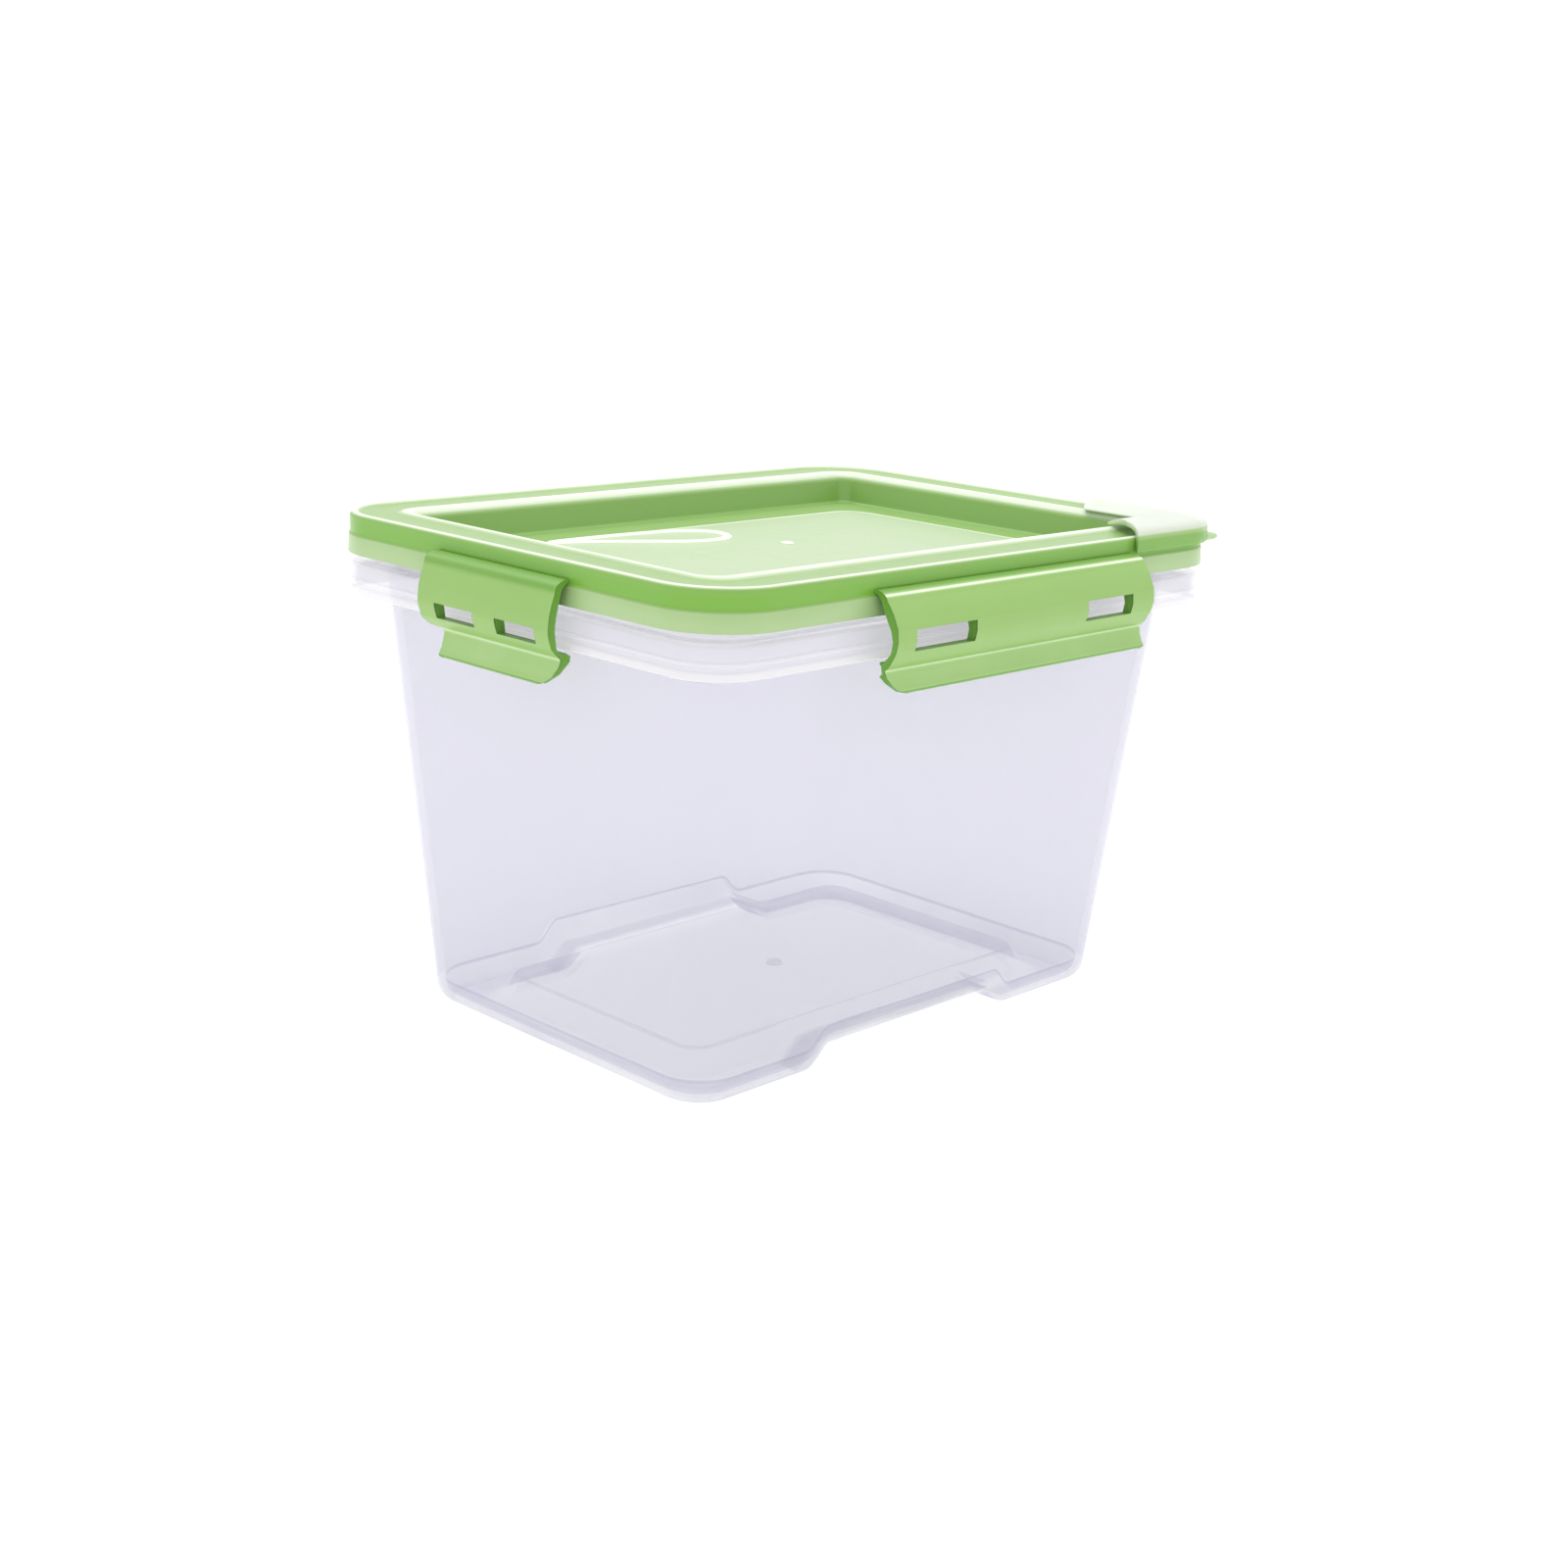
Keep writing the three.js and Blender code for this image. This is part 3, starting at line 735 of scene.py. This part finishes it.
# Lines of a section are (reach, z) downwards; root, tab and back are (reach, z, clearness and painted
# light), and the bright root row is a painted highlight along the crease.
LONG_LATCH = {
    "length": 117.3,
    "offset": 3.65,
    "round_end": -1,
    "tab_short": 0,
    "hook_short": 5,
    "hook_end": 3.9,  # how far in the hook still reaches there
    "edge_shine": 1,
    "windows": [(-51, -25.4), (25.8, 48)],
    "heights": (134.3, 140.4),
    "outside": [(4.6, 149), (7.4, 145.3), (9.5, 141), (9.9, 136.4), (8.1, 131.9)],
    "inside": [(3, 147.8), (4.5, 144.3), (7, 140.2), (7.9, 136.6), (6.8, 133.0)],
    "root": [(7.0, 130.5, 0.5), (5.9, 129.5, 0.5), (5.3, 129.0, 0.8), (5.2, 128.4, 0.6)],
    "tab": [
        (5.5, 126.8, 0.62), (6.4, 124.4, 0.62), (7.4, 122.9, 0.6), (6.6, 121.9, 0.1), (5.2, 122.0, 0.1),
    ],
    "back": [(4.8, 122.6, 0.1), (3.8, 125, 0.1), (2.6, 127, 0.1), (0.6, 127.8, 0.1)],
    "hook_root": [(3.0, 130.5, 0.1), (4.8, 131.3, 0.1)],
}
SHORT_LATCH = {
    "length": 58,
    "offset": 1.5,
    "round_end": 1,
    "tab_short": 6.5,
    "hook_short": 2,
    "hook_end": -0.6,
    "edge_shine": 0.25,
    "windows": [(-21.4, -4.2), (5.8, 22.8)],
    "heights": (132.6, 137.1),
    "outside": [(4.6, 148.8), (6.4, 144), (7.4, 140), (7.5, 136), (6.1, 131.9)],
    "inside": [(2.9, 148.0), (3.9, 143.8), (4.8, 140), (5, 136.6), (4.3, 131.9)],
    "root": [(5.0, 130.8, 0.5), (3.7, 129.6, 0.5), (3.0, 129.0, 0.8), (2.8, 128.3, 0.62)],
    "tab": [
        (3.1, 126.6, 0.63), (4.0, 123.6, 0.63), (5.0, 121.6, 0.6), (4.4, 120.8, 0.1), (3.0, 120.8, 0.1),
    ],
    "back": [(2.7, 121.3, 0.1), (1.5, 124.3, 0.1), (0.3, 126.7, 0.1), (-1.0, 127.8, 0.1)],
    "hook_root": [(2.0, 130.4, 0.1), (3.5, 131.0, 0.1)],
}


def reach_at(line, z):
    """The reach at height z of a line of (reach, z) that goes down."""
    for (reach_a, z_a), (reach_b, z_b) in zip(line, line[1:]):
        if z_b <= z <= z_a:
            return reach_a + (reach_b - reach_a) * (z_a - z) / (z_a - z_b)
    raise ValueError(f"no part of the plate is at {z}")


def latch_section(kind):
    """The section as (reach, z, clearness and painted light), with three of its row numbers: the
    windows' top outside, the windows' bottom inside, and the first row on the inner side."""
    bottom, top = kind["heights"]
    upper = [PLATE_TOP + (top + EDGE - PLATE_TOP) * share for share in (0, 0.33, 0.67)]
    above = [top + EDGE, top, top - EDGE]
    below = [bottom + EDGE, bottom, bottom - EDGE]
    heights = [*upper, *above, (top + bottom) / 2, *below]
    outside = [(reach_at(kind["outside"], z), z, 0.5) for z in heights]
    inside = [(reach_at(kind["inside"], z), z, 0.1) for z in reversed(heights)]
    head = []
    for reach, z, clarity_and_painted_light in HEAD:
        head.append((reach, z, clarity_and_painted_light * kind["edge_shine"] if z < EDGE_LINE_TOP else clarity_and_painted_light))
    outer_parts = [head, outside, kind["root"], kind["tab"]]
    hook_parts = [kind["back"], HOOK, kind["hook_root"]]
    section = [point for part in [*outer_parts, *hook_parts, inside, HINGE] for point in part]
    first_inner = sum(map(len, outer_parts))
    first_inside = first_inner + sum(map(len, hook_parts))
    return section, len(head) + len(upper) + 1, first_inside + 1, first_inner


def latch_columns(kind):
    half = kind["length"] / 2
    edges = {-half, -half + EDGE, half - EDGE, half}
    if kind["hook_short"]:
        for distance in (kind["hook_short"] - HOOK_STEP, kind["hook_short"] + HOOK_STEP):
            edges |= {-half + distance, half - distance}
    for left, right in kind["windows"]:
        edges |= {left - EDGE, left, left + EDGE, right - EDGE, right, right + EDGE}
    ordered = sorted(edges)
    columns = []
    for a, b in zip(ordered, ordered[1:]):
        pieces = max(1, round((b - a) / COLUMN_WIDTH))
        columns += [a + (b - a) * k / pieces for k in range(pieces)]
    return columns + [half]


def tab_edge(kind, x, z):
    """x moved in where the tab's lower corner is cut or it stops short of the latch's end."""
    half = kind["length"] / 2
    bottom = kind["tab"][3][1]
    round_side = x * kind["round_end"] > 0
    radius = TAB_CORNER if round_side else TAB_HEEL
    stop = 0 if round_side else kind["tab_short"] * (1 - smooth_share(z, *TAB_ROOT))
    drop = min(max(bottom + radius - z, 0), radius)
    cut = stop + radius - math.sqrt(radius ** 2 - drop ** 2)
    start = half - TAB_BLEND
    if cut <= 0 or abs(x) <= start:
        return x
    return math.copysign(start + (abs(x) - start) * (half - cut - start) / (half - start), x)


def latch_point(kind, x, reach, z, inner):
    """A cage point as (along, reach, z), with the hook cut short and the windows' frames thickened."""
    half = kind["length"] / 2
    if inner and abs(x) > half - kind["hook_short"] and HOOK_ZONE[0] < z < HOOK_ZONE[1]:
        reach = max(reach, kind["hook_end"])
    bottom, top = kind["heights"]
    margin = FRAME_MARGIN
    in_frame = any(left - margin < x < right + margin for left, right in kind["windows"])
    if inner and in_frame and bottom - margin < z < top + margin:
        reach -= FRAME_DEPTH
    return tab_edge(kind, x, z), reach, z


def flat_cap(ring):
    """Triangles that fill a flat ring of points, turned the same way as the ring."""
    normal = sum((a.cross(b) for a, b in zip(ring, ring[1:] + ring[:1])), Vector())
    for a, b, c in tessellate_polygon([ring]):
        turned = (ring[b] - ring[a]).cross(ring[c] - ring[a]).dot(normal) < 0
        yield (a, c, b) if turned else (a, b, c)


def latch_mesh(name, kind, place):
    """A latch as a control cage. place turns (along, reach, z) into a point in the frame."""
    section, outer_top, inner_bottom, first_inner = latch_section(kind)
    columns = latch_columns(kind)
    size = len(section)
    shape = Shape()
    for x in columns:
        for row, (reach, z, clarity_and_painted_light) in enumerate(section):
            shape.points.append(place(*latch_point(kind, x, reach, z, row >= first_inner)))
            shape.clarity_and_painted_light.append(clarity_and_painted_light)
    rows_cut = 4  # rows of cells between a window's bottom and top
    open_rows = {*range(outer_top, outer_top + rows_cut), *range(inner_bottom, inner_bottom + rows_cut)}
    tab_bottom = (first_inner - 3, first_inner - 2)
    edges = []  # for each face, how much it shows the plastic's thickness, deepened with painted shade in the windows and under the tab

    def at(column, row):
        return column * size + row % size

    def add_face(corners, edge):
        shape.faces.append(corners)
        edges.append(edge)

    creases = {}
    for c, x in enumerate(columns[:-1]):
        hole = any(left <= x < right for left, right in kind["windows"])
        for r in range(size):
            if not (hole and r in open_rows):
                edge = TAB_BOTTOM_DEPTH_AND_SHADE if r in tab_bottom else 0
                add_face((at(c, r), at(c, r + 1), at(c + 1, r + 1), at(c + 1, r)), edge)
        if hole:
            head_out, head_in = outer_top, inner_bottom + rows_cut
            sill_out, sill_in = outer_top + rows_cut, inner_bottom
            add_face((at(c, head_out), at(c + 1, head_out), at(c + 1, head_in), at(c, head_in)), 1)
            sill = (at(c, sill_out), at(c, sill_in), at(c + 1, sill_in), at(c + 1, sill_out))
            add_face(sill, SILL_DEPTH_AND_SHADE)
            for row in (head_out, head_in, sill_out, sill_in):
                creases[frozenset((at(c, row), at(c + 1, row)))] = WINDOW_CREASE
    for left, right in kind["windows"]:
        for x, outward in ((left, 1), (right, -1)):
            c = min(range(len(columns)), key=lambda k: abs(columns[k] - x))
            for k in range(rows_cut):
                out_a, out_b = at(c, outer_top + k), at(c, outer_top + k + 1)
                in_a = at(c, inner_bottom + rows_cut - k)
                in_b = at(c, inner_bottom + rows_cut - k - 1)
                jamb = (out_a, in_a, in_b, out_b)
                add_face(jamb if outward == 1 else jamb[::-1], 1)
                creases[frozenset((out_a, out_b))] = WINDOW_CREASE
                creases[frozenset((in_a, in_b))] = WINDOW_CREASE
    end = (len(columns) - 1) * size
    for first, flip in ((0, False), (end, True)):
        for corners in flat_cap(shape.points[first:first + size]):
            corners = [first + corner for corner in corners]
            add_face(tuple(corners[::-1] if flip else corners), 1)
    for r in range(size):
        creases[frozenset((r, (r + 1) % size))] = END_CREASE
        creases[frozenset((end + r, end + (r + 1) % size))] = END_CREASE
    mesh = shape.mesh(name, sharp=math.pi)
    crease = mesh.attributes.new("crease_edge", "FLOAT", "EDGE")
    for edge in mesh.edges:
        crease.data[edge.index].value = creases.get(frozenset(edge.vertices), 0)
    mesh.attributes.new("edge", "FLOAT", "FACE").data.foreach_set("value", edges)
    return mesh


def facing(side, offset):
    """Turns (along, reach, z) of the latch on one side of the lid into a point in the frame."""
    def place(along, reach, z):
        x = along + offset
        if side == "front":
            return Vector((x, -(LID_HALF_Y + reach), z))
        if side == "back":
            return Vector((-x, LID_HALF_Y + reach, z))
        if side == "left":
            return Vector((-(LID_HALF_X + reach), -x, z))
        return Vector((LID_HALF_X + reach, x, z))
    return place


# ------------------------------------------------------------------------------------------
# Corner cap

CAP_FRONT_END = 62.8
CAP_SIDE_END = 29.5
CAP_END_SLANT = 0.62
CAP_OUTER_INSET = -1.9
CAP_END_STEP = 0.6  # keeps the cap's ends crisp
CAP_TURN_STEPS = 20
CAP_SECTION = [
    # (inset, z, radius, clearness and painted light): round the shell from its outer foot; the
    # near-white rows over the top are a painted highlight
    (-1.9, 150.6, 0.5, 0), (-0.4, 150.6, 0.4, 0), (-0.3, 155.4, 1, 0), (0.9, 156.7, 1, 0.2),
    (3.5, 157.35, 3, 0.2), (8, 157.5, 4, 0.2), (12, 157.1, 4, 0.2), (16, 156.3, 3, 0.2),
    (18.6, 155.8, 0.6, 0.4), (20.4, 155.8, 0.3, 0.8), (19.6, 156.6, 0.8, 1), (16.5, 157.7, 4, 1),
    (12.5, 158.8, 5, 1), (8, 159.1, 6, 1), (3.5, 158.9, 4, 1), (0.3, 158.1, 3, 1),
    (-1.3, 156.6, 2, 0.9), (-1.8, 155.3, 1, 0.45), (-1.9, 154.2, 1, 0.05),
]


def cap_stations():
    """Places along the cap, each a function of (inset, corner radius) that gives (x, y)."""
    def front(back_off):
        def place(inset, corner):
            return (CAP_FRONT_END + CAP_END_SLANT * (inset - CAP_OUTER_INSET) + back_off,
                    -(LID_HALF_Y - inset))
        return place

    def turn(angle):
        def place(inset, corner):
            return (LID_HALF_X - inset - corner + corner * math.cos(angle),
                    -(LID_HALF_Y - inset - corner) + corner * math.sin(angle))
        return place

    def side(back_off):
        def place(inset, corner):
            return (LID_HALF_X - inset,
                    -(CAP_SIDE_END + CAP_END_SLANT * (inset - CAP_OUTER_INSET)) - back_off)
        return place

    shares = (step / CAP_TURN_STEPS for step in range(CAP_TURN_STEPS + 1))
    arc = [turn(-math.pi / 2 * (1 - share)) for share in shares]
    return [front(0), front(CAP_END_STEP), *arc, side(CAP_END_STEP), side(0)]


def cap_mesh():
    shape = Shape()
    section = rounded(CAP_SECTION, steps=3, closed=True)
    rows = []
    for place in cap_stations():
        row = []
        for inset, z, _ in section:
            x, y = place(inset, corner_at(inset))
            row.append(Vector((x, y, z)))
        rows.append(row)
    shape.add_rows(rows, [[clarity_and_painted_light for _, _, clarity_and_painted_light in section]] * len(rows))
    add_lip(shape)
    return shape.mesh("cap_shell")


LIP_REACH = 28.2  # from the centre of the lid's corner arc
LIP_HALF_WIDTH = 7
LIP_BOTTOM = 150.7
LIP_TOP = 152.3
LIP_BEVEL_OUT = 0.5
LIP_BEVEL_UP = 0.4
LIP_HALF_STEPS = 8


def add_lip(shape):
    """A small lip that points away from the corner, to lift the cap by."""
    centre = Vector((LID_HALF_X - LID_CORNER, -(LID_HALF_Y - LID_CORNER)))
    out = Vector((1, -1)).normalized()
    across = Vector((1, 1)).normalized()
    section = [
        (-LIP_BEVEL_OUT, LIP_BOTTOM),
        (0, LIP_BOTTOM + LIP_BEVEL_UP),
        (0, LIP_TOP - LIP_BEVEL_UP),
        (-LIP_BEVEL_OUT, LIP_TOP),
    ]
    rows = []
    for grow, z in section:
        row = []
        for step in range(2 * LIP_HALF_STEPS + 1):
            t = step / LIP_HALF_STEPS - 1
            reach = LID_CORNER + (LIP_REACH - LID_CORNER + grow) * (1 - abs(t) ** 1.5)
            point = centre + out * reach + across * t * (LIP_HALF_WIDTH + grow)
            row.append(Vector((point.x, point.y, z)))
        rows.append(row)
    shape.add_rows(rows, [0.5] * len(rows))


# ------------------------------------------------------------------------------------------
# Pieces

lid_green = green_plastic("lid_polypropylene", LID_STOPS, 0.3)
latch_green = green_plastic("latch_polypropylene", LATCH_STOPS, 0.36)
cap_clear = green_plastic("cap_polypropylene", CAP_STOPS, 0.3, cover=0.72)

add_piece("tub_shell", tub_mesh(), "tub", "container_body", clear_plastic())
add_piece("lid_shell", lid_mesh(), "lid", "lid", lid_green)
add_piece("seal_ring", seal_mesh(), "lid", "lid_seal", silicone())
LATCHES = {"front": LONG_LATCH, "back": LONG_LATCH, "left": SHORT_LATCH, "right": SHORT_LATCH}
for side, kind in LATCHES.items():
    node = f"{side}_latch"
    mesh = latch_mesh(f"{node}_flap", kind, facing(side, kind["offset"]))
    smooth_cage(add_piece(f"{node}_flap", mesh, node, node, latch_green))
add_piece("cap_shell", cap_mesh(), "corner_cap", "corner_vent_cap", cap_clear)


# ------------------------------------------------------------------------------------------
# Floor, light and colour

FLOOR_HALF = 40  # metres


def make_floor():
    """A pale table of backlit acrylic: it glows softly, so hardly any shadow shows on it."""
    mesh = bpy.data.meshes.new("floor")
    corners = [(x * FLOOR_HALF, y * FLOOR_HALF, 0) for x, y in ((-1, -1), (1, -1), (1, 1), (-1, 1))]
    mesh.from_pydata(corners, [], [(0, 1, 2, 3)])
    floor = bpy.data.objects.new("floor", mesh)
    bpy.context.scene.collection.objects.link(floor)
    nodes = Nodes("floor_acrylic")
    nodes.shader.inputs["Base Color"].default_value = (0.5, 0.5, 0.5, 1)
    nodes.shader.inputs["Roughness"].default_value = 0.9
    nodes.shader.inputs["Specular IOR Level"].default_value = 0.1
    nodes.shader.inputs["Emission Color"].default_value = (1, 1, 1, 1)
    nodes.shader.inputs["Emission Strength"].default_value = 0.72
    mesh.materials.append(nodes.material)


def make_softbox(name, place, size, power):
    light = bpy.data.lights.new(name, "AREA")
    light.shape = "RECTANGLE"
    light.size, light.size_y = size
    light.energy = power
    lamp = bpy.data.objects.new(name, light)
    lamp.location = place
    lamp.rotation_mode = "QUATERNION"
    lamp.rotation_quaternion = (Vector((0, 0, 0.08)) - lamp.location).to_track_quat("-Z", "Y")
    bpy.context.scene.collection.objects.link(lamp)


def make_world(brightness):
    world = bpy.data.worlds.new("studio")
    world.use_nodes = True
    background = world.node_tree.nodes["Background"]
    background.inputs["Color"].default_value = (1, 1, 1, 1)
    background.inputs["Strength"].default_value = brightness
    bpy.context.scene.world = world


make_floor()
make_world(1.05)
make_softbox("overhead_softbox", Vector((0.2, 0.3, 1.3)), (1.2, 1.2), 9)

scene = bpy.context.scene
scene.view_settings.view_transform = "Standard"
scene.cycles.transparent_max_bounces = 32
scene.cycles.max_bounces = 12
